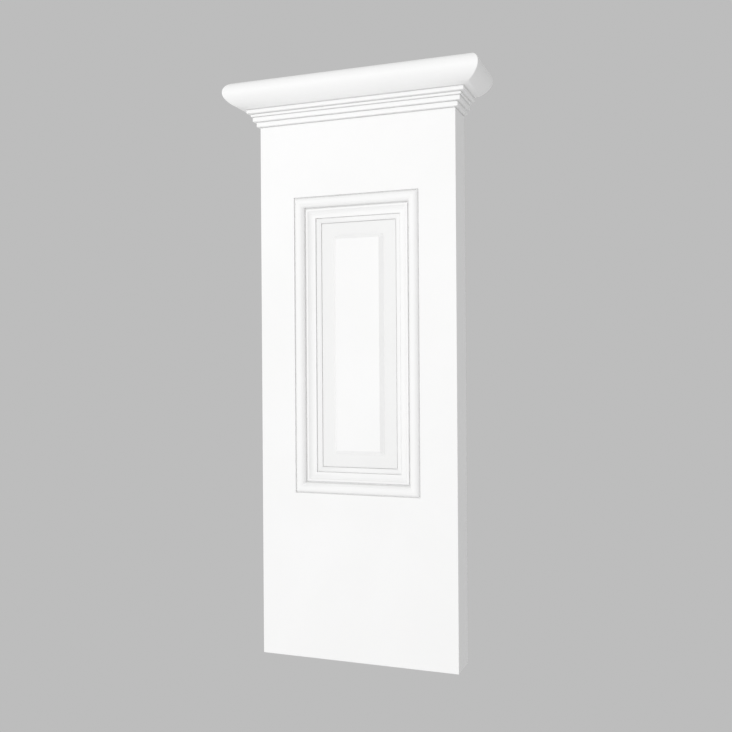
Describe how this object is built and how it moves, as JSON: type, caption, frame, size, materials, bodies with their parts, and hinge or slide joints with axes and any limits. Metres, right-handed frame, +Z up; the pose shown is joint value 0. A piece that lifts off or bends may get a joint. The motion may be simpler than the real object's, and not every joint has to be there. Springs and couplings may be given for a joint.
{
  "type": "stone pilaster",
  "caption": "Shallow wall pilaster in white stone: flat shaft with a framed, raised-and-fielded panel under a moulded cap with a rounded nosing that returns to the wall.",
  "frame": {"origin": "middle of the flat back, where the pilaster is fixed to its wall: half way across, and half way up between the foot and the top of the cap", "axes": "+Z up the shaft to the cap; +Y out of the flat back into the wall, so the panelled face looks towards -Y; +X to the right as seen from the front"},
  "size_m": [0.4478, 0.1089, 0.988],
  "materials": {
    "stone": "matte"
  },
  "bodies": {
    "root": {"pilaster": "stone"}
  },
  "joints": []
}
